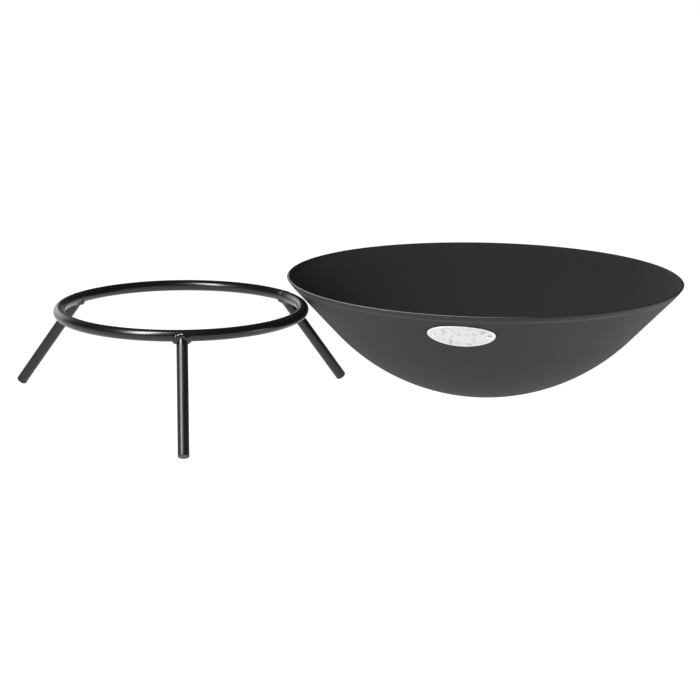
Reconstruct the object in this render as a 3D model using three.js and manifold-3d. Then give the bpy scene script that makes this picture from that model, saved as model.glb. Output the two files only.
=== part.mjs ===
// A fire bowl and the low stand it is set on, standing side by side on a floor.
// The stand is a hoop of round bar on three splayed legs, welded together. The bowl is a
// thin steel shell with a small flat base, a turned-up lip and an oval badge held by two
// rivets. Millimetres, +Z up, +X from the stand to the bowl.

import * as THREE from "three";
import { mergeVertices } from "three/addons/utils/BufferGeometryUtils.js";
import Module from "manifold-3d";

const wasm = await Module();
wasm.setup();

const radians = THREE.MathUtils.degToRad;
const halfTurn = Math.PI;
const quarterTurn = Math.PI / 2;

// ---- Driving dimensions ----

const clearance = 0.3; // gap kept between pieces that touch

// Stand
const ringRadius = 178; // to the centre line of the bent bar
const ringBar = 16.5; // diameter of the bar
const ringHeight = 145.3; // centre line of the bar above the floor
const ringSteps = 72; // facets round the hoop
const barSteps = 16; // facets round the bar
const buttAzimuth = radians(35.5); // where the bar's two ends meet
const buttGap = 3; // space between the two ends, filled by a weld

const legBar = 16; // diameter of a leg
const legSplay = radians(37.8); // lean of a leg from the vertical
const legChamfer = 1; // broken edge of a leg's foot
const legSteps = 24; // facets round a leg
const legNames = ["front", "rear_right", "rear_left"];
const frontLegAzimuth = radians(-84.5);

const weldReach = 5.5; // how far a weld bead spreads over the leg and over the bar
const weldRoot = 2.5; // how deep the uncut bead starts below both surfaces
const weldSteps = 28; // facets along a bead
const beadSteps = 4; // facets across a bead

// Bowl
const rimRadius = 300; // to the outer edge of the rim
const baseRadius = 35; // flat middle of the bottom
const crownRadius = 310; // rounding of the bottom, outside
const flankAngle = radians(47.2); // slope of the straight flank above the floor
const lipHeight = 7; // turned-up band below the rim
const lipAngle = radians(55); // its slope above the floor
const bowlWall = 3;
const bowlSteps = 96; // facets round the bowl
const crownSteps = 8; // facets along the rounding

// Badge
const badgeLength = 95;
const badgeHeight = 48;
const badgeThickness = 1.5;
const badgeAzimuth = radians(-100.6);
const badgeDrop = 34; // from the lip's fold down the flank to the badge's centre
const badgeSteps = 48; // facets round the oval
const badgeSink = 12; // how deep the oval cutter reaches on each side of the flank

const rivetInset = 9; // from the badge's end to a rivet's centre
const rivetShank = 4; // diameter
const rivetHead = 7; // diameter
const rivetHeadHeight = 1.6;
const rivetSteps = 16;

// Layout on the floor
const bowlAzimuth = radians(12.9); // where the bowl stands, seen from the stand
const bowlGap = 1.1; // between the ring's bar and the bowl's flank

// ---- Materials ----

const standBlack = new THREE.MeshStandardMaterial({ color: 0x17171a, roughness: 0.38, metalness: 0.3 });
const weldBlack = new THREE.MeshStandardMaterial({ color: 0x1c1c1f, roughness: 0.45, metalness: 0.3 });
const bowlGrey = new THREE.MeshStandardMaterial({ color: 0x46464a, roughness: 0.55, metalness: 0.2 });
const badgeSilver = new THREE.MeshStandardMaterial({ color: 0xdedfde, roughness: 0.3, metalness: 0.8 });
const rivetSilver = new THREE.MeshStandardMaterial({ color: 0xe6e6e4, roughness: 0.3, metalness: 0.9 });

// ---- Solids and booleans ----

function solidOf(geometry) {
  const bare = geometry.clone();
  bare.deleteAttribute("normal");
  bare.deleteAttribute("uv");
  const merged = mergeVertices(bare, 1e-4);
  const vertProperties = Float32Array.from(merged.attributes.position.array);
  const triVerts = Uint32Array.from(merged.index.array);
  return new wasm.Manifold(new wasm.Mesh({ numProp: 3, vertProperties, triVerts }));
}

function geometryOf(solid) {
  const mesh = solid.getMesh();
  const geometry = new THREE.BufferGeometry();
  geometry.setAttribute("position", new THREE.BufferAttribute(mesh.vertProperties, mesh.numProp));
  geometry.setIndex(new THREE.BufferAttribute(mesh.triVerts, 1));
  geometry.computeVertexNormals();
  return geometry;
}

function named(name, geometry, material) {
  const mesh = new THREE.Mesh(geometry, material);
  mesh.name = name;
  return mesh;
}

// A profile of [radius, height] points turned about Z.
function turned(profile, steps) {
  const points = profile.map(([radius, height]) => new THREE.Vector2(radius, height));
  return new THREE.LatheGeometry(points, steps).rotateX(quarterTurn);
}

// A round bar on the Z axis, from one height to another.
function roundBar(radius, bottom, top, steps) {
  const bar = new THREE.CylinderGeometry(radius, radius, top - bottom, steps);
  return bar.rotateX(quarterTurn).translate(0, 0, (bottom + top) / 2);
}

// ---- Stand ----

// The ring's bar, centred on the origin. A margin makes it fatter, to cut with.
function hoop(margin) {
  return new THREE.TorusGeometry(ringRadius, ringBar / 2 + margin, barSteps, ringSteps);
}

// A slab across the bar where its two ends meet.
function buttSlab(thickness) {
  const slab = new THREE.BoxGeometry(2 * ringBar, thickness, 2 * ringBar);
  return slab.translate(ringRadius, 0, 0).rotateZ(buttAzimuth);
}

function makeRing() {
  const ring = solidOf(hoop(0)).subtract(solidOf(buttSlab(buttGap)));
  return named("ring", geometryOf(ring), standBlack);
}

// The weld between the bar's ends, ground flush with the bar.
function makeButtWeld() {
  const fill = solidOf(buttSlab(buttGap - 2 * clearance)).intersect(solidOf(hoop(0)));
  return named("ring_butt_weld", geometryOf(fill), weldBlack);
}

// A leg's own frame has its origin on the centre line of the ring's bar: z runs up the
// leg, x points outwards and up, and y runs along the bar.
function hoopAtLeg(margin) {
  const legFrame = new THREE.Matrix4().makeRotationY(-legSplay).setPosition(ringRadius, 0, 0);
  return solidOf(hoop(margin).applyMatrix4(legFrame.invert()));
}

// The length that puts the lowest point of the square-cut foot on the floor.
const legLength = (ringHeight - (legBar / 2 - legChamfer) * Math.sin(legSplay)) / Math.cos(legSplay);

function makeLeg(name) {
  const radius = legBar / 2;
  const bar = turned(
    [
      [0, -legLength],
      [radius - legChamfer, -legLength],
      [radius, -legLength + legChamfer],
      [radius, 0],
      [0, 0],
    ],
    legSteps,
  );
  const coped = solidOf(bar).subtract(hoopAtLeg(clearance));
  return named(`leg_${name}`, geometryOf(coped), standBlack);
}

// A point on the bar's surface: a distance along the bar, and an angle round it that is
// zero where the leg points.
function onBar(radius, along, angle) {
  return new THREE.Vector3(radius * Math.sin(angle), along, -radius * Math.cos(angle));
}

// The section of a bead at one place round the leg, from the leg's surface to the bar's.
// Its crown is a quadratic curve, fuller on the sides where leg and bar run together.
function beadSection(turn) {
  const legRadius = legBar / 2;
  const barRadius = ringBar / 2;
  const aside = Math.sin(turn);
  const rootDepth = Math.sqrt(Math.max(0, barRadius ** 2 - (legRadius * aside) ** 2));
  const rootAngle = Math.atan2(legRadius * aside, rootDepth);
  const outward = new THREE.Vector3(aside, Math.cos(turn), 0);
  const root = new THREE.Vector3(legRadius * aside, legRadius * Math.cos(turn), -rootDepth);
  const onLeg = root.clone().add(new THREE.Vector3(0, 0, -weldReach));
  const reachAngle = rootAngle + (weldReach * aside) / barRadius;
  const onRing = onBar(barRadius, (legRadius + weldReach) * Math.cos(turn), reachAngle);
  const crown = root.clone().addScaledVector(outward, weldReach * (0.65 + 0.3 * aside * aside));
  crown.z -= weldReach * (0.65 - 0.57 * aside * aside);
  const curve = new THREE.QuadraticBezierCurve3(onLeg, crown, onRing);
  const section = curve.getPoints(beadSteps);
  const ringSide = onBar(barRadius - weldRoot, onRing.y, reachAngle);
  const inside = onBar(barRadius - weldRoot, (legRadius - weldRoot) * Math.cos(turn), rootAngle);
  const legSide = onLeg.clone().addScaledVector(outward, -weldRoot);
  return [...section, ringSide, inside, legSide];
}

// A closed tube of quads through equal sections that follow a loop.
function loopOf(sections) {
  const width = sections[0].length;
  const count = sections.length;
  const positions = sections.flat().flatMap((point) => point.toArray());
  const triangles = [];
  for (let i = 0; i < count; i += 1) {
    for (let j = 0; j < width; j += 1) {
      const here = i * width;
      const next = ((i + 1) % count) * width;
      const k = (j + 1) % width;
      triangles.push(here + j, next + k, next + j, here + j, here + k, next + k);
    }
  }
  const geometry = new THREE.BufferGeometry();
  geometry.setAttribute("position", new THREE.Float32BufferAttribute(positions, 3));
  geometry.setIndex(triangles);
  return geometry;
}

// The fillet bead that runs round the top of a leg, cut back to leave its clearance.
function makeLegWeld(name) {
  const sections = [];
  for (let i = 0; i < weldSteps; i += 1) {
    sections.push(beadSection((2 * halfTurn * i) / weldSteps));
  }
  const leg = solidOf(roundBar(legBar / 2 + clearance, -legLength, ringBar, legSteps));
  const bead = solidOf(loopOf(sections)).subtract(hoopAtLeg(clearance)).subtract(leg);
  return named(`weld_${name}`, geometryOf(bead), weldBlack);
}

function makeStand() {
  const stand = new THREE.Group();
  const ring = new THREE.Group();
  ring.position.z = ringHeight;
  ring.add(makeRing(), makeButtWeld());
  stand.add(ring);
  legNames.forEach((name, index) => {
    const leg = new THREE.Group();
    leg.position.set(ringRadius, 0, 0);
    leg.rotation.y = -legSplay;
    leg.add(makeLeg(name), makeLegWeld(name));
    const spoke = new THREE.Group();
    spoke.rotation.z = frontLegAzimuth + (2 * halfTurn * index) / legNames.length;
    spoke.add(leg);
    ring.add(spoke);
  });
  return stand;
}

// ---- Bowl ----

// The outside of the shell is a flat base, a round crown, a straight flank that leaves
// the crown smoothly, and a steeper lip. A depth below zero stands for the outside of
// the steel and a depth above zero lies within it.
const crownHeight = Math.sqrt(crownRadius ** 2 - baseRadius ** 2);
const flankStart = [
  crownRadius * Math.sin(flankAngle),
  crownHeight - crownRadius * Math.cos(flankAngle),
];
const foldRadius = rimRadius - lipHeight / Math.tan(lipAngle);
const foldHeight = flankStart[1] + (foldRadius - flankStart[0]) * Math.tan(flankAngle);

function crownPoints(depth) {
  const radius = crownRadius - depth;
  const first = Math.acos((crownHeight - depth) / radius);
  const points = [];
  for (let i = 0; i <= crownSteps; i += 1) {
    const angle = first + ((flankAngle - first) * i) / crownSteps;
    points.push([radius * Math.sin(angle), crownHeight - radius * Math.cos(angle)]);
  }
  return points;
}

// The fold between flank and lip, moved square to both surfaces by the depth.
function foldPoint(depth) {
  const halfBend = (lipAngle - flankAngle) / 2;
  const shift = depth / Math.cos(halfBend);
  const angle = flankAngle + halfBend;
  return [foldRadius - shift * Math.sin(angle), foldHeight + shift * Math.cos(angle)];
}

function rimPoint(depth) {
  const height = foldHeight + lipHeight;
  return [rimRadius - depth * Math.sin(lipAngle), height + depth * Math.cos(lipAngle)];
}

function sideOfShell(depth) {
  return [[0, depth], ...crownPoints(depth), foldPoint(depth), rimPoint(depth)];
}

// A frame on the flank, level with the badge's centre: x runs level along the flank, y up
// it and z out of it.
const badgeRadius = foldRadius - badgeDrop * Math.cos(flankAngle);
const badgeCentreHeight = foldHeight - badgeDrop * Math.sin(flankAngle);

function flankFrame(azimuth) {
  const level = new THREE.Vector3(0, 1, 0);
  const upFlank = new THREE.Vector3(Math.cos(flankAngle), 0, Math.sin(flankAngle));
  const outOfFlank = new THREE.Vector3(Math.sin(flankAngle), 0, -Math.cos(flankAngle));
  const frame = new THREE.Matrix4().makeBasis(level, upFlank, outOfFlank);
  frame.setPosition(badgeRadius, 0, badgeCentreHeight);
  return frame.premultiply(new THREE.Matrix4().makeRotationZ(azimuth));
}

// The two rivets lie level with the badge's centre, each square to the flank where it is.
function rivetFrame(side) {
  const turn = Math.asin((side * (badgeLength / 2 - rivetInset)) / badgeRadius);
  return flankFrame(badgeAzimuth + turn);
}

const rivetSides = [
  ["left", -1],
  ["right", 1],
];

// The two holes through badge and shell.
function rivetHoles() {
  const holes = rivetSides.map(([, side]) => {
    const hole = roundBar(rivetShank / 2 + clearance, -badgeSink, badgeSink, rivetSteps);
    return solidOf(hole.applyMatrix4(rivetFrame(side)));
  });
  return holes[0].add(holes[1]);
}

function makeShell() {
  const profile = [...sideOfShell(0), ...sideOfShell(bowlWall).reverse()];
  const shell = solidOf(turned(profile, bowlSteps)).subtract(rivetHoles());
  return named("bowl_shell", geometryOf(shell), bowlGrey);
}

// A conical band that lies over the flank, between two distances out of its surface.
function flankBand(inner, outer) {
  const half = badgeHeight;
  const corner = (along, out) => [
    badgeRadius + along * Math.cos(flankAngle) + out * Math.sin(flankAngle),
    badgeCentreHeight + along * Math.sin(flankAngle) - out * Math.cos(flankAngle),
  ];
  const profile = [
    corner(-half, inner),
    corner(-half, outer),
    corner(half, outer),
    corner(half, inner),
    corner(-half, inner),
  ];
  return turned(profile, bowlSteps);
}

// An oval cut out of the conical band, so that the plate follows the flank's curve.
function makeBadge() {
  const oval = new THREE.Shape();
  oval.absellipse(0, 0, badgeLength / 2, badgeHeight / 2, 0, 2 * halfTurn, false, 0);
  const settings = { depth: 2 * badgeSink, bevelEnabled: false, curveSegments: badgeSteps };
  const cutter = new THREE.ExtrudeGeometry(oval, settings).translate(0, 0, -badgeSink);
  cutter.applyMatrix4(flankFrame(badgeAzimuth));
  const band = solidOf(flankBand(clearance, clearance + badgeThickness));
  const plate = band.intersect(solidOf(cutter)).subtract(rivetHoles());
  return named("badge_plate", geometryOf(plate), badgeSilver);
}

// A rivet with a domed head over the badge and a flatter closed head inside the bowl.
// The flats of a faceted shell lie a little inside its true curve, so both heads keep
// that much more room.
function makeRivet(name, side) {
  const flatness = rimRadius * (1 - Math.cos(halfTurn / bowlSteps));
  const outerSeat = badgeThickness + 2 * clearance;
  const innerSeat = -(bowlWall + clearance + flatness);
  const shank = rivetShank / 2;
  const head = rivetHead / 2;
  const profile = [
    [0, innerSeat - rivetHeadHeight],
    [0.7 * head, innerSeat - rivetHeadHeight],
    [head, innerSeat - rivetHeadHeight / 2],
    [head, innerSeat],
    [shank, innerSeat],
    [shank, outerSeat],
    [head, outerSeat],
    [0.9 * head, outerSeat + 0.5 * rivetHeadHeight],
    [0.55 * head, outerSeat + 0.88 * rivetHeadHeight],
    [0, outerSeat + rivetHeadHeight],
  ];
  const rivet = turned(profile, rivetSteps).applyMatrix4(rivetFrame(side));
  return named(`badge_rivet_${name}`, rivet, rivetSilver);
}

// The straight flank is the part of the bowl that comes nearest to the ring's bar.
function bowlDistance() {
  const flankAtBar = flankStart[0] + (ringHeight - flankStart[1]) / Math.tan(flankAngle);
  return ringRadius + flankAtBar + (ringBar / 2 + bowlGap) / Math.sin(flankAngle);
}

function makeBowl() {
  const bowl = new THREE.Group();
  const distance = bowlDistance();
  bowl.position.set(distance * Math.cos(bowlAzimuth), distance * Math.sin(bowlAzimuth), 0);
  bowl.add(makeShell(), makeBadge());
  rivetSides.forEach(([name, side]) => bowl.add(makeRivet(name, side)));
  return bowl;
}

// ---- The pair on the floor, with the origin at the middle of its outline ----

function makeFireBowlAndStand() {
  const pair = new THREE.Group();
  pair.add(makeStand(), makeBowl());
  const outline = new THREE.Box3().setFromObject(pair, true);
  const middle = outline.getCenter(new THREE.Vector3());
  pair.position.set(-middle.x, -middle.y, -outline.min.z);
  const whole = new THREE.Group();
  whole.add(pair);
  return whole;
}

export default makeFireBowlAndStand();
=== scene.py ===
# %% [markdown]
# # A fire bowl and its ring stand
#
# The object is two loose things that belong together. The stand is a hoop of round steel bar
# on three splayed legs, welded up and coated gloss black. The bowl is a thin pressed steel
# shell in charcoal paint, with a turned-up lip and an oval silver badge. This file draws
# their surfaces over a fixed frame of plain solids, which says where every piece is and how
# the bowl moves. Nothing here moves the frame: each surface is worked out from its sizes.

# %% Load the frame
import math

import bpy
import numpy as np
from mathutils import Matrix, Vector


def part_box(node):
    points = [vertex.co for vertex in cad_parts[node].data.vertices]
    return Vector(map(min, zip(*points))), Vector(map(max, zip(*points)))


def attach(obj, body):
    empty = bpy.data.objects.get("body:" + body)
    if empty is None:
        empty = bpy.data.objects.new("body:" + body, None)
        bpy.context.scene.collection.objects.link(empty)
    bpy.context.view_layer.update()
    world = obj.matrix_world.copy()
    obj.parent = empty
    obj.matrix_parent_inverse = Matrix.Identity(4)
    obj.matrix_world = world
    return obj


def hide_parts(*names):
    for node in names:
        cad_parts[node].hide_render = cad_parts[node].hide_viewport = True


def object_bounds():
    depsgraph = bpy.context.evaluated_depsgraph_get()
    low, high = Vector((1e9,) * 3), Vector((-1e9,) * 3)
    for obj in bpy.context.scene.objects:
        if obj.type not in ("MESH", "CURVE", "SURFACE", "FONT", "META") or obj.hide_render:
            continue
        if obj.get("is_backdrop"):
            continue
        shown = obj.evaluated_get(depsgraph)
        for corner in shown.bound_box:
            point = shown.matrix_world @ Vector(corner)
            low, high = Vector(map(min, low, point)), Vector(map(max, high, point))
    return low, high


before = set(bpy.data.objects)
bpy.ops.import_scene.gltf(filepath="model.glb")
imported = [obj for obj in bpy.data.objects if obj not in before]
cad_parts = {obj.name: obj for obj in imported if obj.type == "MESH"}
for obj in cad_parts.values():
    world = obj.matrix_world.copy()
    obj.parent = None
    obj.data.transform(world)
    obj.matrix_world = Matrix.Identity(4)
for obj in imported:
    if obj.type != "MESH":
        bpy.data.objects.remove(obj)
cad_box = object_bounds()
MM = 0.001
print("frame:", sorted(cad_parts), [round(v / MM, 1) for v in cad_box[1] - cad_box[0]], "mm")

# %% [markdown]
# The sizes come first. Whatever a box round a solid can tell is read from the frame: the
# hoop's centre, its radius and the thickness of its bar, and the bowl's centre and rim. The
# angles and small roundings that a box can't tell are named here, and every surface below
# uses them.

# %% Sizes read from the frame
ring_low, ring_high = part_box("ring")
RING_CENTRE = np.array((ring_low + ring_high) / 2)
BAR_RADIUS = (ring_high.z - ring_low.z) / 2
RING_RADIUS = (ring_high.x - ring_low.x) / 2 - BAR_RADIUS

bowl_low, bowl_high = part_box("bowl_shell")
BOWL_CENTRE = np.array([(bowl_low.x + bowl_high.x) / 2, (bowl_low.y + bowl_high.y) / 2, 0.0])
RIM_RADIUS = (bowl_high.x - bowl_low.x) / 2
print(f"hoop {RING_RADIUS / MM:.1f} mm to the middle of a {2 * BAR_RADIUS / MM:.1f} mm bar, "
      f"bowl {2 * RIM_RADIUS / MM:.0f} mm across")

# %% Sizes of the stand that a box can't tell
LEG_RADIUS = 8 * MM
LEG_SPLAY = math.radians(37.8)
LEG_EDGE = 1 * MM
LEG_AZIMUTHS = {
    "front": math.radians(-84.5),
    "rear_right": math.radians(35.5),
    "rear_left": math.radians(155.5),
}
WELD_REACH = 5.5 * MM
WELD_PUSHES = 11
RIPPLE_HEIGHT = 0.75 * MM
LUMP_HEIGHT = 0.36 * MM
PIT_DEPTH = 0.20 * MM
BUTT_AZIMUTH = math.radians(35.5)
BUTT_GAP = 3 * MM
BUTT_BEVEL = 0.8 * MM
BUTT_BEVEL_DEPTH = 0.7 * MM
BUTT_BEAD_HALF_WIDTH = 2.6 * MM
PROUD_ANGLE = 0.12
PROUD_HEIGHT = 0.25 * MM

# %% Sizes of the bowl that a box can't tell
BASE_RADIUS = 35 * MM
CROWN_RADIUS = 310 * MM
FLANK_ANGLE = math.radians(47.2)
LIP_ANGLE = math.radians(55)
LIP_HEIGHT = 7 * MM
WALL = 3 * MM
BADGE_AZIMUTH = math.radians(-100.6)
BADGE_DROP = 34 * MM
BADGE_HALF_LENGTH = 47.5 * MM
BADGE_HALF_HEIGHT = 24 * MM
RIVET_INSET = 9 * MM

# %% [markdown]
# ## Camera
#
# The view is a long lens a little above the rim, looking slightly down from the side that
# carries the badge. A long lens keeps the two circles calm. The camera stands straight in
# front of the frame's middle and is rolled by half a degree.

# %% Camera
CAMERA_PLACE = Vector((0.0061, -2.6192, 0.6914))
CAMERA_PITCH = math.radians(13.30)
CAMERA_ROLL = math.radians(0.52)
CAMERA_LENS = 91.73

camera_data = bpy.data.cameras.new("camera")
camera_data.lens = CAMERA_LENS
camera_data.sensor_width = 36
camera = bpy.data.objects.new("camera", camera_data)
bpy.context.scene.collection.objects.link(camera)
looking = Matrix.Rotation(math.pi / 2 - CAMERA_PITCH, 4, "X") @ Matrix.Rotation(CAMERA_ROLL, 4, "Z")
camera.matrix_world = Matrix.Translation(CAMERA_PLACE) @ looking
bpy.context.scene.camera = camera
print("camera", [round(v, 3) for v in CAMERA_PLACE], "lens", CAMERA_LENS)

# %% [markdown]
# ## Surfaces as grids
#
# Every piece here is a grid of points worked out by a formula: rows along one parameter and
# columns along another. One function turns such a grid into a closed mesh, so the formulas
# are all that the pieces need. Arrays do the work at once, without a loop over points.


# %% A grid of points becomes a closed solid
def signed_volume(points, triangles):
    """Adds up the thin wedges from the origin to each triangle: one sixth of a . (b x c)."""
    a, b, c = points[triangles[:, 0]], points[triangles[:, 1]], points[triangles[:, 2]]
    return float((a * np.cross(b, c)).sum() / 6)


def skin(name, rows, loop=False):
    """Joins point (i, j) to (i, j+1), (i+1, j+1) and (i+1, j) by a four-sided face.

    Columns always close round. Rows close round too if loop is true, and otherwise each end
    is capped by a fan of triangles from the middle of the end row. If the solid's volume
    comes out negative, all faces are turned over, so that they point outwards.
    """
    rows = np.asarray(rows, float)
    count, width = rows.shape[:2]
    i = np.arange(count if loop else count - 1)[:, None]
    j = np.arange(width)[None, :]
    this_row, next_row = i * width, ((i + 1) % count) * width
    beside = (j + 1) % width
    quads = np.stack([this_row + j, this_row + beside, next_row + beside, next_row + j], -1)
    quads = quads.reshape(-1, 4)
    points = rows.reshape(-1, 3)
    caps = np.empty((0, 3), int)
    if not loop:
        first, last = len(points), len(points) + 1
        points = np.vstack([points, rows[0].mean(0), rows[-1].mean(0)])
        around = np.arange(width)
        ahead = (around + 1) % width
        end = (count - 1) * width
        start_fan = np.stack([np.full(width, first), ahead, around], -1)
        end_fan = np.stack([np.full(width, last), end + around, end + ahead], -1)
        caps = np.vstack([start_fan, end_fan])
    volume = signed_volume(points, np.vstack([quads[:, :3], quads[:, [0, 2, 3]], caps]))
    if volume < 0:
        quads, caps = quads[:, ::-1], caps[:, ::-1]
    mesh = bpy.data.meshes.new(name)
    mesh.from_pydata(points.tolist(), [], quads.tolist() + caps.tolist())
    mesh.shade_smooth()
    piece = bpy.data.objects.new(name, mesh)
    bpy.context.scene.collection.objects.link(piece)
    print(f"{name}: {len(points)} points, {abs(volume) * 1e6:.1f} cm3")
    return piece


# %% Lines and curves that profiles are made of
def straight(start, stop, steps):
    """Points spread evenly on the line from start to stop."""
    share = np.linspace(0, 1, steps)[:, None]
    return (1 - share) * np.asarray(start) + share * np.asarray(stop)


def rounded(before, corner, after, reach, steps):
    """A corner softened by a quadratic curve.

    It leaves the line to before at the distance reach from the corner and joins the line to
    after at the same distance: (1-t)^2 start + 2 t (1-t) corner + t^2 stop.
    """
    before, corner, after = (np.asarray(p, float) for p in (before, corner, after))
    start = corner + reach * (before - corner) / np.linalg.norm(before - corner)
    stop = corner + reach * (after - corner) / np.linalg.norm(after - corner)
    t = np.linspace(0, 1, steps)[:, None]
    return (1 - t) ** 2 * start + 2 * t * (1 - t) * corner + t**2 * stop


def turned(profile, columns):
    """Carries a profile of (radius, height) points round the Z axis.

    A row holds one profile point at every angle: (radius cos a, radius sin a, height).
    """
    angle = np.linspace(0, 2 * math.pi, columns, endpoint=False)
    radius, height = profile[:, 0, None], profile[:, 1, None]
    return np.stack([radius * np.cos(angle), radius * np.sin(angle), height + 0 * angle], -1)


# %% [markdown]
# ## The bowl
#
# The real bowl is one disc of steel, pressed to shape. Its outside is a small flat base, a
# wide round crown, a straight flank and a steeper lip, and its inside is the same line moved
# in by the wall. A Solidify modifier could thicken a single sheet, but then the rim would be
# a plain square step. Here one profile goes up the outside, over a softly broken rim and
# back down the inside, and is turned about the bowl's axis.

# %% The line of the shell at any depth in its wall
CROWN_HEIGHT = math.sqrt(CROWN_RADIUS**2 - BASE_RADIUS**2)
FLANK_START = (
    CROWN_RADIUS * math.sin(FLANK_ANGLE),
    CROWN_HEIGHT - CROWN_RADIUS * math.cos(FLANK_ANGLE),
)
FOLD_RADIUS = RIM_RADIUS - LIP_HEIGHT / math.tan(LIP_ANGLE)
FOLD_HEIGHT = FLANK_START[1] + (FOLD_RADIUS - FLANK_START[0]) * math.tan(FLANK_ANGLE)
RIM_HEIGHT = FOLD_HEIGHT + LIP_HEIGHT
POLE = 4 * MM


def crown(depth, steps=44):
    """The round bottom: a circle about a point on the axis, from the base to the flank."""
    radius = CROWN_RADIUS - depth
    first = math.acos((CROWN_HEIGHT - depth) / radius)
    angle = np.linspace(first, FLANK_ANGLE, steps)
    return np.stack([radius * np.sin(angle), CROWN_HEIGHT - radius * np.cos(angle)], -1)


def fold(depth):
    """Where flank and lip meet, moved by the depth square to both."""
    half_bend = (LIP_ANGLE - FLANK_ANGLE) / 2
    shift = depth / math.cos(half_bend)
    angle = FLANK_ANGLE + half_bend
    return np.array([FOLD_RADIUS - shift * math.sin(angle), FOLD_HEIGHT + shift * math.cos(angle)])


def rim(depth):
    """The rim's edge, moved by the depth square to the lip."""
    in_and_up = depth * np.array([-math.sin(LIP_ANGLE), math.cos(LIP_ANGLE)])
    return np.array([RIM_RADIUS, RIM_HEIGHT]) + in_and_up


def side(depth):
    """One side of the shell from near the axis to just below the rim."""
    round_bottom = crown(depth)
    base = rounded((0, depth), round_bottom[0], round_bottom[2], 6 * MM, 7)
    bend = rounded(round_bottom[-1], fold(depth), rim(depth), 2.5 * MM, 9)
    flank = straight(round_bottom[-1], bend[0], 26)[1:-1]
    lip = straight(bend[-1], rim(depth) - 0.2 * (rim(depth) - fold(depth)), 4)[1:]
    flat = straight((POLE, depth), base[0], 4)[:-1]
    return np.vstack([flat, base, round_bottom[2:], flank, bend, lip])


# %% The bowl as one turned profile
EDGE_SOFTNESS = 0.9 * MM
outside, inside = side(0), side(WALL)
outer_edge = rounded(fold(0), rim(0), rim(WALL), EDGE_SOFTNESS, 6)
inner_edge = rounded(rim(0), rim(WALL), fold(WALL), EDGE_SOFTNESS, 6)
bowl_profile = np.vstack([outside, outer_edge, inner_edge, inside[::-1]])
bowl = skin("bowl", turned(bowl_profile, 240) + BOWL_CENTRE)
print(f"bowl depth {RIM_HEIGHT / MM:.1f} mm")

# %% [markdown]
# ## The badge
#
# The badge is a thin oval plate bent to the bowl's flank, with a raised border and a fine
# engraved line inside it. The flank is part of a cone, so a point of the plate is found by
# going up the flank, out of it, and then round the bowl. The oval's border keeps the same
# width all round, because its rows are moved in square to the oval's edge and aren't just
# smaller ovals.

# %% From the badge's flat drawing to the bowl's flank
BADGE_RADIUS = FOLD_RADIUS - BADGE_DROP * math.cos(FLANK_ANGLE)
BADGE_HEIGHT = FOLD_HEIGHT - BADGE_DROP * math.sin(FLANK_ANGLE)


def round_bowl(points, azimuth):
    """Turns points about the Z axis by the azimuth, then moves them to the bowl's centre."""
    c, s = math.cos(azimuth), math.sin(azimuth)
    return points @ np.array([[c, s, 0], [-s, c, 0], [0, 0, 1]]) + BOWL_CENTRE


def on_flank(across, up, out):
    """A point so far across the badge, up the flank and out of it.

    Out and up give a radius and a height on the cone's side. Across turns the point round
    the axis by the angle whose sine is across over radius, and it rises along the flank by
    as much as the turn made it sink below the badge's long axis.
    """
    radius = BADGE_RADIUS + up * math.cos(FLANK_ANGLE) + out * math.sin(FLANK_ANGLE)
    height = BADGE_HEIGHT + up * math.sin(FLANK_ANGLE) - out * math.cos(FLANK_ANGLE)
    turn = np.arcsin(across / radius)
    rise = radius * (1 - np.cos(turn)) * math.cos(FLANK_ANGLE)
    radius = radius + rise * math.cos(FLANK_ANGLE)
    height = height + rise * math.sin(FLANK_ANGLE)
    return np.stack([radius * np.cos(turn), radius * np.sin(turn), height], -1)


def oval(inset, scale=1.0, columns=200):
    """The badge's outline moved in by inset, square to its edge, and then scaled.

    The edge is (a cos t, b sin t), and its inward direction is -(b cos t, a sin t).
    """
    t = np.linspace(0, 2 * math.pi, columns, endpoint=False)
    a, b = BADGE_HALF_LENGTH, BADGE_HALF_HEIGHT
    slope = np.hypot(b * np.cos(t), a * np.sin(t))
    across = a * np.cos(t) - inset * b * np.cos(t) / slope
    up = b * np.sin(t) - inset * a * np.sin(t) / slope
    return scale * across, scale * up


# %% The badge's section, from the middle of its face over the border to the back
FACE = 1.25 * MM
BORDER = 1.75 * MM
BACK = 0.05 * MM
DOME = 0.35 * MM
FACE_INSET = 6.4 * MM
face_rows = [(FACE_INSET, s, FACE + DOME * (1 - s * s)) for s in np.linspace(0.04, 1, 14)]
border_rows = [
    (inset * MM, 1.0, out)
    for inset, out in [
        (5.7, FACE),
        (5.4, FACE - 0.28 * MM),
        (4.9, FACE - 0.32 * MM),
        (4.6, FACE),
        (3.4, FACE),
        (3.1, FACE + 0.10 * MM),
        (2.6, BORDER - 0.06 * MM),
        (2.0, BORDER),
        (1.2, BORDER - 0.04 * MM),
        (0.5, BORDER - 0.30 * MM),
        (0.1, FACE - 0.30 * MM),
        (0.0, 0.5 * MM),
        (0.15, BACK),
    ]
]
back_rows = [(FACE_INSET, s, BACK) for s in np.linspace(1, 0.04, 6)]
badge_rows = []
for inset, scale, out in face_rows + border_rows + back_rows:
    across, up = oval(inset, scale)
    badge_rows.append(on_flank(across, up, out))
badge = skin("badge", round_bowl(np.array(badge_rows), BADGE_AZIMUTH))

# %% [markdown]
# ## The badge's rivets
#
# Two small rivets hold the badge. Each has a domed head on the badge, a shank through badge
# and shell, and a flatter closed head inside the bowl. The profile is turned about its own
# axis and then stood square to the flank.

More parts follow.
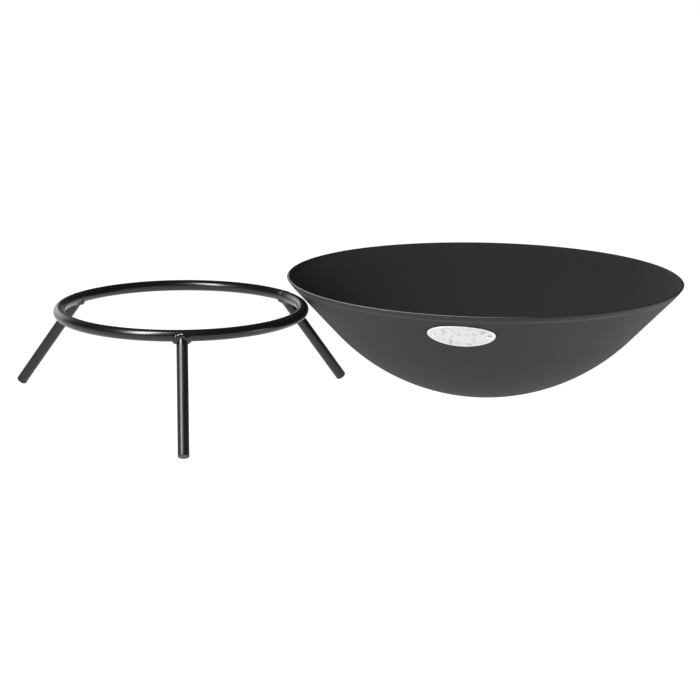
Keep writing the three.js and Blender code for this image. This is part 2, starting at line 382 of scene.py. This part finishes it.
# %% Rivets
rivet_profile = np.array([
    (0.4, -5.30),
    (2.2, -5.25),
    (3.1, -4.85),
    (3.4, -4.30),
    (3.45, -3.60),
    (3.35, -3.02),
    (2.0, -3.02),
    (2.0, 1.20),
    (3.40, 1.22),
    (3.50, 1.45),
    (3.45, 1.80),
    (3.15, 2.35),
    (2.55, 2.80),
    (1.70, 3.10),
    (0.80, 3.24),
    (0.25, 3.27),
]) * MM
level = np.array([0.0, 1.0, 0.0])
up_flank = np.array([math.cos(FLANK_ANGLE), 0.0, math.sin(FLANK_ANGLE)])
out_of_flank = np.array([math.sin(FLANK_ANGLE), 0.0, -math.cos(FLANK_ANGLE)])
rivet_seat = np.array([BADGE_RADIUS, 0.0, BADGE_HEIGHT])
rivet_turn = math.asin((BADGE_HALF_LENGTH - RIVET_INSET) / BADGE_RADIUS)
rivets = {}
for rivet_name, rivet_side in (("left", -1), ("right", 1)):
    standing = turned(rivet_profile, 40) @ np.array([level, up_flank, out_of_flank]) + rivet_seat
    placed = round_bowl(standing, BADGE_AZIMUTH + rivet_side * rivet_turn)
    rivets[rivet_name] = skin(f"{rivet_name}_badge_rivet", placed)

# %% [markdown]
# ## The hoop
#
# A straight bar is rolled into a hoop until its ends meet, and a weld fills the last gap.
# A torus from the Add menu would be quick, but it has no ends. Here the bar is a circle
# carried round a larger circle. It starts and stops at the gap, its two ends are bevelled for
# the weld, and one end swells by a quarter of a millimetre, because rolled ends seldom meet
# quite flush. The weld was ground back, so it stands only a few tenths of a millimetre proud
# and shows as a fine uneven band.


# %% A bar that follows part of the hoop
def along_hoop(azimuth, radius, columns=44):
    """Circles of the given radii, square to the hoop at the given azimuths.

    A point is the hoop's centre plus (R + r cos v) outwards and r sin v upwards.
    """
    v = np.linspace(0, 2 * math.pi, columns, endpoint=False)[None, :]
    azimuth, radius = np.asarray(azimuth)[:, None], np.asarray(radius)
    radius = radius if radius.ndim == 2 else radius[:, None]
    out = RING_RADIUS + radius * np.cos(v)
    up = radius * np.sin(v)
    return np.stack([out * np.cos(azimuth), out * np.sin(azimuth), up], -1) + RING_CENTRE


# %% The hoop, from one bevelled end to the other
half_gap = BUTT_GAP / 2 / RING_RADIUS
bevel = BUTT_BEVEL / RING_RADIUS
full_bar = np.linspace(half_gap + bevel, 2 * math.pi - half_gap - bevel, 300)
hoop_azimuth = BUTT_AZIMUTH + np.hstack([half_gap, full_bar, 2 * math.pi - half_gap])
proud_end = np.clip((hoop_azimuth - hoop_azimuth[-1] + PROUD_ANGLE) / PROUD_ANGLE, 0, 1) ** 2
hoop_radius = BAR_RADIUS + PROUD_HEIGHT * proud_end
hoop_radius[[0, -1]] -= BUTT_BEVEL_DEPTH
hoop = skin("hoop", along_hoop(hoop_azimuth, hoop_radius))

# %% The ground weld between its ends
# In its middle it stands 0.38 mm above the bar, a little more or less round the bar, and its
# edges lie 0.12 mm below the bar's surface.
across_bead = np.linspace(-1, 1, 15)
bead_angle = np.linspace(0, 2 * math.pi, 44, endpoint=False)
ripple = 0.10 * np.sin(3 * bead_angle + 0.7) + 0.07 * np.sin(7 * bead_angle + 2.1)
crest = (0.50 + ripple[None, :]) * (1 - across_bead[:, None] ** 2) - 0.12
butt_radius = BAR_RADIUS + crest * MM
butt_azimuth = BUTT_AZIMUTH + across_bead * BUTT_BEAD_HALF_WIDTH / RING_RADIUS
butt_bead = skin("hoop_butt_bead", along_hoop(butt_azimuth, butt_radius))

# %% [markdown]
# ## The legs
#
# Each leg is a straight bar that leans outwards. Its top is cut to the round of the hoop's
# bar, and its foot is sawn square with the edge just broken. A leg is built in its own
# frame: z runs up the leg to the middle of the hoop's bar, y runs along that bar, and x
# points out and up. The top row of the grid isn't level: it follows the bar's curve.


# %% The frame of a leg
def leg_frame(azimuth):
    """The leg's x, y and z directions as rows, and its origin on the hoop's centre line."""
    outwards = np.array([math.cos(azimuth), math.sin(azimuth), 0.0])
    upwards = np.array([0.0, 0.0, 1.0])
    along_bar = np.array([-math.sin(azimuth), math.cos(azimuth), 0.0])
    across = math.cos(LEG_SPLAY) * outwards + math.sin(LEG_SPLAY) * upwards
    up_leg = -math.sin(LEG_SPLAY) * outwards + math.cos(LEG_SPLAY) * upwards
    return np.array([across, along_bar, up_leg]), RING_CENTRE + RING_RADIUS * outwards


# %% The length that stands a leg on the floor
# A sharp foot would touch with its outer corner. The rounded edge lifts the lowest point by
# E s c / (s + c), where E is the edge's size and s and c are the splay's sine and cosine.
splay_sine, splay_cosine = math.sin(LEG_SPLAY), math.cos(LEG_SPLAY)
edge_lift = LEG_EDGE * splay_sine * splay_cosine / (splay_sine + splay_cosine)
LEG_LENGTH = (RING_CENTRE[2] - LEG_RADIUS * splay_sine + edge_lift) / splay_cosine
print(f"legs {LEG_LENGTH / MM:.1f} mm long")


# %% A leg, from the middle of its foot to its cut top
def leg_rows(columns=56, shaft_rows=36):
    """Circles up the leg.

    The foot's rows share one height and grow outwards. The shaft's rows run from the foot
    to the surface of the hoop's bar, which lies sqrt(R^2 - x^2) below the bar's middle.
    """
    angle = np.linspace(0, 2 * math.pi, columns, endpoint=False)
    sole = straight((0.5 * MM, -LEG_LENGTH), (LEG_RADIUS - LEG_EDGE, -LEG_LENGTH), 6)
    corner = (LEG_RADIUS, -LEG_LENGTH)
    edge = rounded((0, -LEG_LENGTH), corner, (LEG_RADIUS, 0), LEG_EDGE, 7)
    foot = np.vstack([sole[:-1], edge])
    radius = np.hstack([foot[:, 0], np.full(shaft_rows, LEG_RADIUS)])[:, None]
    top = -np.sqrt(BAR_RADIUS**2 - (LEG_RADIUS * np.cos(angle)) ** 2)
    share = np.linspace(0, 1, shaft_rows + 1)[1:, None]
    shaft = (1 - share) * foot[-1, 1] + share * top
    height = np.vstack([np.repeat(foot[:, 1, None], columns, 1), shaft])
    return np.stack([radius * np.cos(angle), radius * np.sin(angle), height], -1)


legs = {}
for leg_name, azimuth in LEG_AZIMUTHS.items():
    directions, origin = leg_frame(azimuth)
    legs[leg_name] = skin(f"{leg_name}_leg", leg_rows() @ directions + origin)

# %% [markdown]
# ## The welds at the leg tops
#
# A fillet weld is laid in short pushes, so its bead is a row of overlapping ripples with the
# odd lump. The bead is a closed section carried round the leg. On one side the section ends
# on the leg, on the other it ends on the hoop's bar, and its crown is a curve between them.
# The ripples push the crown in and out, and fade at both toes, where the metal runs thin.


# %% The height of the ripples
def weld_ripples(turn, share, seed):
    """How far the crown stands out at each place, from 0 at the toes.

    Ripples are the absolute value of a sine that bends forward in the middle of the bead,
    one arch to each push of the torch. Lumps are slow sines whose phases the seed shifts.
    """
    middle = 4 * share * (1 - share)
    ripples = np.abs(np.sin(WELD_PUSHES / 2 * turn + 0.9 * middle + seed))
    lumps = np.sin(3 * turn + 1.7 * seed) + 0.7 * np.sin(5 * turn + 2.3 * seed + 4 * share)
    pits = np.sin(9 * turn + 5 * share + seed) * np.sin(4 * turn - 6 * share)
    return middle * (RIPPLE_HEIGHT * ripples + LUMP_HEIGHT * lumps + PIT_DEPTH * pits)


# %% The bead round a leg
def weld_rows(seed, columns=150, steps=15):
    """Closed sections round the leg, each from the leg's surface over the crown to the bar.

    The root is where leg and bar meet. The toe on the leg lies straight below it, a little
    closer where the leg faces along the bar. The toe on the bar lies on the bar's surface, the
    weld's reach away from the root. The crown is a quadratic curve between the toes, fuller
    where leg and bar run together. The section closes inside the metal, where no one sees it.
    """
    turn = np.linspace(0, 2 * math.pi, columns, endpoint=False)[:, None]
    aside, along = np.cos(turn), np.sin(turn)
    outward = np.concatenate([aside, along, 0 * turn], -1)
    root_depth = np.sqrt(BAR_RADIUS**2 - (LEG_RADIUS * aside) ** 2)
    root = np.concatenate([LEG_RADIUS * aside, LEG_RADIUS * along, -root_depth], -1)
    leg_toe = root - np.array([0, 0, 1]) * WELD_REACH * (0.75 + 0.25 * aside**2)
    toe_angle = np.arctan2(LEG_RADIUS * aside, root_depth) + WELD_REACH * aside / BAR_RADIUS
    toe_along = (LEG_RADIUS + WELD_REACH) * along
    bar_toe = np.concatenate(
        [BAR_RADIUS * np.sin(toe_angle), toe_along, -BAR_RADIUS * np.cos(toe_angle)], -1
    )
    fullness = WELD_REACH * (0.50 + 0.40 * aside**2)
    drop = WELD_REACH * (0.55 - 0.45 * aside**2)
    control = root + fullness * outward - np.concatenate([0 * turn, 0 * turn, drop], -1)
    share = np.linspace(0, 1, steps)
    s = share[None, :, None]
    crown_line = (1 - s) ** 2 * leg_toe[:, None] + 2 * s * (1 - s) * control[:, None]
    crown_line = crown_line + s**2 * bar_toe[:, None]
    push = weld_ripples(turn, share[None, :], seed)[..., None]
    crown_line = crown_line + push * (outward[:, None] - np.array([0, 0, 0.35]))
    under_bar = 0.8 * bar_toe + 0.2 * np.concatenate([0 * turn, toe_along, 0 * turn], -1)
    buried = root * np.array([0.6, 0.6, 1.0])
    under_leg = leg_toe * np.array([0.75, 0.75, 1.0])
    tail = np.stack([under_bar, buried, under_leg], 1)
    return np.concatenate([crown_line, tail], 1)


beads = {}
for seed, (leg_name, azimuth) in enumerate(LEG_AZIMUTHS.items()):
    directions, origin = leg_frame(azimuth)
    beads[leg_name] = skin(f"{leg_name}_weld_bead", weld_rows(seed) @ directions + origin, loop=True)

# %% [markdown]
# ## Finishes
#
# A finish is a small network of shader nodes. Three helpers keep it readable. `Term` wraps a
# socket, so that sums such as `1 - mask` or `0.3 + 0.1 * grain` write their own Math nodes.
# `Network` adds a node from its type, its settings and its sockets. `Finish` is a network that
# ends in one Principled shader. Patterns read Object coordinates in metres, so a scale of 1000
# makes marks about a millimetre across.


# %% Shader sums written as sums
class Term:
    """A number or colour that varies over a surface: the output of a node."""

    def __init__(self, network, socket):
        self.network = network
        self.socket = socket

    def maths(self, operation, first, second):
        return self.network.node("ShaderNodeMath", {"operation": operation}, {0: first, 1: second})

    def __add__(self, other):
        return self.maths("ADD", self, other)

    def __radd__(self, other):
        return self.maths("ADD", other, self)

    def __sub__(self, other):
        return self.maths("SUBTRACT", self, other)

    def __rsub__(self, other):
        return self.maths("SUBTRACT", other, self)

    def __mul__(self, other):
        return self.maths("MULTIPLY", self, other)

    def __rmul__(self, other):
        return self.maths("MULTIPLY", other, self)


# %% Nodes and how they are joined
class Network:
    """A tree of shader nodes, built node by node."""

    def __init__(self, tree):
        self.tree = tree

    def node(self, kind, settings=None, sockets=None, out=0):
        """Adds a node, sets its settings, then its sockets, and returns one output."""
        made = self.tree.nodes.new(kind)
        for name, value in (settings or {}).items():
            setattr(made, name, value)
        for name, value in (sockets or {}).items():
            self.feed(made.inputs[name], value)
        return Term(self, made.outputs[out])

    def feed(self, socket, value):
        if isinstance(value, Term):
            self.tree.links.new(value.socket, socket)
        else:
            socket.default_value = value

    def vectors(self, operation, first, second=(0, 0, 0), out=0):
        return self.node("ShaderNodeVectorMath", {"operation": operation}, {0: first, 1: second}, out)

    def between(self, value, low, high):
        """0 below low, 1 above high, and a smooth step between them."""
        settings = {"interpolation_type": "SMOOTHSTEP"}
        sockets = {"Value": value, "From Min": low, "From Max": high}
        return self.node("ShaderNodeMapRange", settings, sockets)

    def mix(self, share, first, second):
        """A colour that goes from first to second as share goes from 0 to 1.

        The Mix node has sockets for numbers, vectors and colours: 0 is the share, and 6 and 7
        are the two colours. Output 2 is the mixed colour.
        """
        return self.node("ShaderNodeMix", {"data_type": "RGBA"}, {0: share, 6: first, 7: second}, 2)


# %% A finish
class Finish(Network):
    """A material with one Principled shader, for one slot of the record."""

    def __init__(self, name, slot=None):
        self.slot = slot
        self.material = bpy.data.materials.new(name)
        self.material.use_nodes = True
        super().__init__(self.material.node_tree)
        self.shader = self.tree.nodes["Principled BSDF"]
        self.place = self.node("ShaderNodeTexCoord", out="Object")

    def set(self, **sockets):
        """Feeds the shader's own sockets: Base_Color stands for Base Color."""
        for name, value in sockets.items():
            self.feed(self.shader.inputs[name.replace("_", " ")], value)
        print(f"{self.material.name}: {', '.join(sockets)}")

    def noise(self, scale, detail=3.0, roughness=0.55):
        sockets = {"Vector": self.place, "Scale": scale, "Detail": detail, "Roughness": roughness}
        return self.node("ShaderNodeTexNoise", {}, sockets)

    def bump(self, height, distance, strength):
        sockets = {"Height": height, "Distance": distance, "Strength": strength}
        self.set(Normal=self.node("ShaderNodeBump", {}, sockets))


PLAIN = (1.0, 1.0, 1.0)
VIOLET = (1.03, 1.0, 1.10)
COOL = (0.99, 1.0, 1.01)


def grey(level, tint=PLAIN):
    """A grey of the given strength, coloured a little by the tint's shares of each channel."""
    return (level * tint[0], level * tint[1], level * tint[2], 1.0)


# %% [markdown]
# ### Black coat of the stand
#
# Powder coat flows as it bakes, so it is smooth and nearly glossy with a faint orange-peel
# skin. Two materials could part the glossy hoop from the duller legs, but both wear one coat.
# So one finish reads the height above the floor and turns glossier at the hoop's bar, and
# fine scuffs lift both the grey and the roughness in spots.

# %% Black coat
BAR_BOTTOM = RING_CENTRE[2] - BAR_RADIUS
black_coat = Finish("black_powder_coat", slot="stand_black")
peel = black_coat.noise(520, detail=2.0)
haze = black_coat.noise(38, detail=4.0)
scuffs = black_coat.between(black_coat.noise(900, detail=6.0, roughness=0.7), 0.60, 0.78)
above_floor = black_coat.node("ShaderNodeSeparateXYZ", {}, {"Vector": black_coat.place}, out="Z")
on_hoop = black_coat.between(above_floor, BAR_BOTTOM - 2 * MM, BAR_BOTTOM + 1 * MM)
black_coat.set(
    Base_Color=black_coat.mix(scuffs * 0.5, grey(0.003, VIOLET), grey(0.020, VIOLET)),
    Roughness=0.36 - 0.15 * on_hoop + 0.08 * haze + 0.12 * scuffs,
)
black_coat.bump(peel, 0.00012, 0.20)

# %% [markdown]
# ### Black coat over the welds
#
# The same coat lies over the beads. It is given more gloss than on the bar, so that each lump
# catches the light as a small point, and a fine grit breaks the points up. The ripples
# themselves are in the mesh, so this finish only adds what is too small for it.

# %% Coat over the welds
weld_coat = Finish("coat_over_welds", slot="weld_black")
grit = weld_coat.noise(1400, detail=5.0, roughness=0.65)
weld_coat.set(
    Base_Color=weld_coat.mix(grit, grey(0.003, VIOLET), grey(0.010, VIOLET)),
    Roughness=0.09 + 0.12 * grit,
)
weld_coat.bump(grit, 0.0003, 0.20)

# %% [markdown]
# ### Where a place lies on the badge
#
# Both the bowl's paint and the badge's silver change along the badge's oval outline. An
# unwrapped picture could carry the oval, but a Mapping node of the Texture kind does it with
# numbers alone: it moves, turns and shrinks the space so that the outline becomes a circle of
# radius 1, and the length of the vector then tells how far out a place lies.

# %% How far out a place lies on the badge's oval
ANY_DEPTH = 1000.0


def badge_oval(finish):
    """0 in the middle of the badge, 1 on its outline, and more outside it.

    The place is moved to the badge's middle, turned so that x runs across the badge and y up
    the flank, and divided by the half length and the half height. Depth counts for nothing.
    """
    across = np.array([-math.sin(BADGE_AZIMUTH), math.cos(BADGE_AZIMUTH), 0.0])
    up = round_bowl(up_flank, BADGE_AZIMUTH) - BOWL_CENTRE
    turn = Matrix(np.stack([across, up, np.cross(across, up)], -1)).to_euler()
    middle = round_bowl(rivet_seat, BADGE_AZIMUTH)
    half_sizes = (BADGE_HALF_LENGTH, BADGE_HALF_HEIGHT, ANY_DEPTH)
    sockets = {"Vector": finish.place, "Location": middle, "Rotation": turn, "Scale": half_sizes}
    scaled = finish.node("ShaderNodeMapping", {"vector_type": "TEXTURE"}, sockets)
    return finish.vectors("LENGTH", scaled, out="Value")


# %% [markdown]
# ### Charcoal paint of the bowl
#
# Heat-resistant paint dries to a fine dry satin. Three things break it up: a sandy grain, a
# very faint pattern of rings left by the press and the spinning lathe, and soft clouds where
# the spray overlapped. The rings are a noise along one number, the distance from the axis.

# %% Charcoal paint
charcoal = Finish("charcoal_heat_paint", slot="bowl_grey")
from_centre = charcoal.vectors("SUBTRACT", charcoal.place, BOWL_CENTRE)
from_axis = charcoal.vectors("MULTIPLY", from_centre, (1, 1, 0))
radius = charcoal.vectors("LENGTH", from_axis, out="Value")
along_radius = {"W": radius, "Scale": 420, "Detail": 3.0}
rings = charcoal.node("ShaderNodeTexNoise", {"noise_dimensions": "1D"}, along_radius)
clouds = charcoal.noise(9, detail=3.0)
sand = charcoal.noise(1500, detail=3.0, roughness=0.6)
specks = charcoal.between(charcoal.noise(2600, detail=1.0), 0.68, 0.76)
tone = 0.35 * clouds + 0.35 * sand + 0.3 * rings
paint = charcoal.mix(tone, grey(0.031, VIOLET), grey(0.049, VIOLET))

# %% [markdown]
# ### Where the rim is rubbed, and where highlight and shade are painted
#
# Paint gives way first where hands hold it. On the thin top edge of the rim it is rubbed bare
# on one side, and there the edge's paler colour is partly a painted highlight. Along the fold
# under the lip a paler line is a painted highlight, and round the badge a dark line in the seam
# is painted shade. The paint could be done by hand on the mesh, but each of these places
# follows a size that is known, so a mask is made from it: from the height, from the side of the
# bowl, or from the badge's oval. The bowl's inside lies under the same heights and the same
# oval, so a mask for the outer side keeps it clean.

# %% The rim's bare edge, partly a painted highlight
GRIP_AND_GLINT_AZIMUTH = math.radians(-137)
grip_and_glint_side = (math.cos(GRIP_AND_GLINT_AZIMUTH) / RIM_RADIUS, math.sin(GRIP_AND_GLINT_AZIMUTH) / RIM_RADIUS, 0)
height = charcoal.node("ShaderNodeSeparateXYZ", {}, {"Vector": charcoal.place}, out="Z")
on_edge = charcoal.between(height, RIM_HEIGHT + 0.7 * MM, RIM_HEIGHT + 1.4 * MM)
towards_grip_and_glint = charcoal.vectors("DOT_PRODUCT", from_axis, grip_and_glint_side, out="Value")
gripped_and_lit = charcoal.between(towards_grip_and_glint, 0.50, 0.85)
# A slow noise along the rim sets how strongly the edge is rubbed and how bright the painted fold
# highlight is.
rubbing_and_sheen = charcoal.between(charcoal.noise(14, detail=3.0), 0.35, 0.70)
# On the front left the rim's top edge is rubbed to pale bare metal, and its pale grey there is partly
# a painted highlight.
wear_and_glint = on_edge * gripped_and_lit * (0.6 + 0.4 * rubbing_and_sheen)

# %% The outer side of the shell
out_of_cone = math.sin(FLANK_ANGLE) * (radius - BADGE_RADIUS)
below_cone = math.cos(FLANK_ANGLE) * (height - BADGE_HEIGHT)
outer_side = charcoal.between(out_of_cone - below_cone, -0.7 * WALL, -0.3 * WALL)

# %% The painted highlight along the fold under the lip, and the painted shade round the badge
FOLD_SPREAD = 3 * MM
below_fold = charcoal.between(height, FOLD_HEIGHT - FOLD_SPREAD, FOLD_HEIGHT)
above_fold = charcoal.between(height, FOLD_HEIGHT, FOLD_HEIGHT + FOLD_SPREAD)
# A paler band along the fold under the lip is a painted highlight.
painted_fold_highlight = (0.35 + 0.30 * rubbing_and_sheen) * outer_side * below_fold * (1 - above_fold)
# A near-black line round the badge's outline is painted shade in the seam.
painted_seam_shade = outer_side * (1 - charcoal.between(badge_oval(charcoal), 1.02, 1.06))

# %% Paint, bare edge, and the painted fold highlight and seam shade together
# The fold's paler grey is a painted highlight.
paint_with_fold_highlight = charcoal.mix(painted_fold_highlight, paint, grey(0.082, VIOLET))
# The pale grey of the rim's edge is bare metal and partly a painted highlight.
worn_and_highlit_paint = charcoal.mix(wear_and_glint, paint_with_fold_highlight, grey(0.55))
charcoal.set(
    # The near-black grey is the painted shade in the badge's seam.
    Base_Color=charcoal.mix(painted_seam_shade, worn_and_highlit_paint, grey(0.002)),
    Metallic=0.5 * wear_and_glint,
    Roughness=0.58 + 0.10 * sand + 0.06 * rings - 0.08 * specks - 0.24 * wear_and_glint,
    Specular_IOR_Level=0.06,
)
charcoal.bump(sand + 0.25 * rings, 0.00010, 0.35)

# %% [markdown]
# ### Silver of the badge and its rivets
#
# The badge is bright metal with a soft mottled face. Its raised border is paler and has one
# even colour. It is also a little rougher than the face, so that no lamp makes a hard glint on
# its edge. The rivets are brighter than the face and have a fine brushed grain.

# %% Badge silver
silver = Finish("mottled_silver", slot="badge_silver")
mottle = silver.noise(130, detail=4.0, roughness=0.6)
pores = silver.noise(900, detail=3.0)
patches = silver.between(mottle, 0.50, 0.68)
border = silver.between(badge_oval(silver), 0.89, 0.93)
face = silver.mix(patches, grey(0.66, COOL), grey(0.42, COOL))
silver.set(
    Base_Color=silver.mix(border, face, grey(0.76, COOL)),
    Roughness=0.30 + 0.12 * patches + 0.06 * pores + 0.18 * border,
    Metallic=0.75,
)
silver.bump(mottle + 0.2 * pores, 0.0005, 0.4)

# %% Rivet metal
rivet_metal = Finish("bright_rivet", slot="rivet_silver")
brushed = rivet_metal.noise(1800, detail=4.0)
rivet_metal.set(
    Base_Color=rivet_metal.mix(brushed, grey(0.82), grey(0.66)),
    Roughness=0.24 + 0.14 * brushed,
    Metallic=0.9,
)
rivet_metal.bump(brushed, 0.0001, 0.4)

# %% [markdown]
# ## Floor and light
#
# The setting is a white studio. A floor bright enough to look white by lamps alone would need
# lamps that wash out the black coat, so the wide floor gives light of its own, slightly more
# towards the front right, and throws it up under the bowl. A tall strip lamp at the front left
# of the stand draws the long highlights on the hoop and the front leg. A small card at the
# right lights that side of the bowl. The sky is dim overhead, so the inside of the bowl stays
# dark. It has one bright patch at the back left and is white near the horizon, so that the
# floor seems to go on for ever.

# %% Floor
FLOOR_REACH = 40.0
FLOOR_DROP = 0.5 * MM
FRONT_RIGHT = (0.7, -0.7, 0)
floor_mesh = bpy.data.meshes.new("floor")
around = ((-1, -1), (1, -1), (1, 1), (-1, 1))
corners = [(x * FLOOR_REACH, y * FLOOR_REACH, -FLOOR_DROP) for x, y in around]
floor_mesh.from_pydata(corners, [], [(0, 1, 2, 3)])
floor = bpy.data.objects.new("floor", floor_mesh)
bpy.context.scene.collection.objects.link(floor)
floor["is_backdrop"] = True
floor_paint = Finish("floor_paint")
to_front_right = floor_paint.vectors("DOT_PRODUCT", floor_paint.place, FRONT_RIGHT, out="Value")
glow = floor_paint.mix(floor_paint.between(to_front_right, -0.35, 0.65), grey(0.88), grey(1.0))
floor_paint.set(
    Base_Color=grey(0.22),
    Roughness=0.9,
    Specular_IOR_Level=0.1,
    Emission_Color=glow,
    Emission_Strength=1.12,
)
floor.data.materials.append(floor_paint.material)
print(f"floor {2 * FLOOR_REACH:.0f} m across, {FLOOR_DROP / MM} mm below the feet")


# %% Lights
def soft_light(name, target, azimuth, elevation, distance, width, height, power):
    """A rectangular light that faces a target and can't be seen itself.

    Azimuth is in degrees to the right of the target's front, elevation in degrees above it.
    """
    data = bpy.data.lights.new(name, "AREA")
    data.shape = "RECTANGLE"
    data.size, data.size_y = width, height
    data.energy = power
    light = bpy.data.objects.new(name, data)
    across, up = math.radians(azimuth), math.radians(elevation)
    flat = math.cos(up)
    towards = Vector((math.sin(across) * flat, -math.cos(across) * flat, math.sin(up)))
    place = Vector(target) + distance * towards
    facing = towards.to_track_quat("Z", "Y").to_matrix().to_4x4()
    light.matrix_world = Matrix.Translation(place) @ facing
    light.visible_camera = False
    bpy.context.scene.collection.objects.link(light)
    print(f"{name}: {power} W, {distance} m away")


soft_light(
    "front_left_strip",
    target=RING_CENTRE,
    azimuth=-33,
    elevation=45,
    distance=0.9,
    width=0.22,
    height=0.66,
    power=14.5,
)
soft_light(
    "low_right_card",
    target=BOWL_CENTRE + (0, 0, 0.1),
    azimuth=60,
    elevation=0,
    distance=0.65,
    width=0.5,
    height=0.15,
    power=1.2,
)

# %% Sky
BACK_LEFT = (-0.57, 0.81, 0.12)
world = bpy.data.worlds.new("dim_sky")
world.use_nodes = True
sky = Network(world.node_tree)
direction = sky.node("ShaderNodeTexCoord", out="Generated")
facing_back_left = sky.vectors("DOT_PRODUCT", direction, BACK_LEFT, out="Value")
bright_patch = sky.between(facing_back_left, 0.90, 0.975)
height_in_sky = sky.node("ShaderNodeSeparateXYZ", {}, {"Vector": direction}, out="Z")
above_horizon = sky.between(height_in_sky, 0.04, 0.10)
overhead = sky.mix(bright_patch, grey(0.07), grey(1.8))
background = sky.tree.nodes["Background"]
sky.feed(background.inputs["Color"], sky.mix(above_horizon, grey(1.0), overhead))
bpy.context.scene.world = world
bpy.context.scene.view_settings.view_transform = "Standard"

# %% [markdown]
# ## Putting it together
#
# Every new surface takes its finish, rides on the body that it belongs to and stands for
# the plain solid it covers. The bowl with its badge and rivets is one body, and the whole
# stand is the other.


# %% Ride, replace and paint
def dress(piece, finish, body, node):
    """Gives a piece its finish, its body and the node that it stands for."""
    piece.data.materials.append(finish.material)
    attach(piece, body)
    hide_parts(node)


dress(hoop, black_coat, "stand", "ring")
dress(butt_bead, weld_coat, "stand", "ring_butt_weld")
for leg_name in LEG_AZIMUTHS:
    dress(legs[leg_name], black_coat, "stand", f"leg_{leg_name}")
    dress(beads[leg_name], weld_coat, "stand", f"weld_{leg_name}")
dress(bowl, charcoal, "bowl", "bowl_shell")
dress(badge, silver, "bowl", "badge_plate")
for rivet_name, rivet in rivets.items():
    dress(rivet, rivet_metal, "bowl", f"badge_rivet_{rivet_name}")

# %% [markdown]
#
# The surfaces should fill the plain solids' box almost exactly. The largest difference between
# the two boxes is printed.

# %% Compare the boxes and finish
drawn_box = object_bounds()
largest = np.abs(np.array(cad_box) - np.array(drawn_box)).max()
print("largest difference", round(largest / MM, 2), "mm")
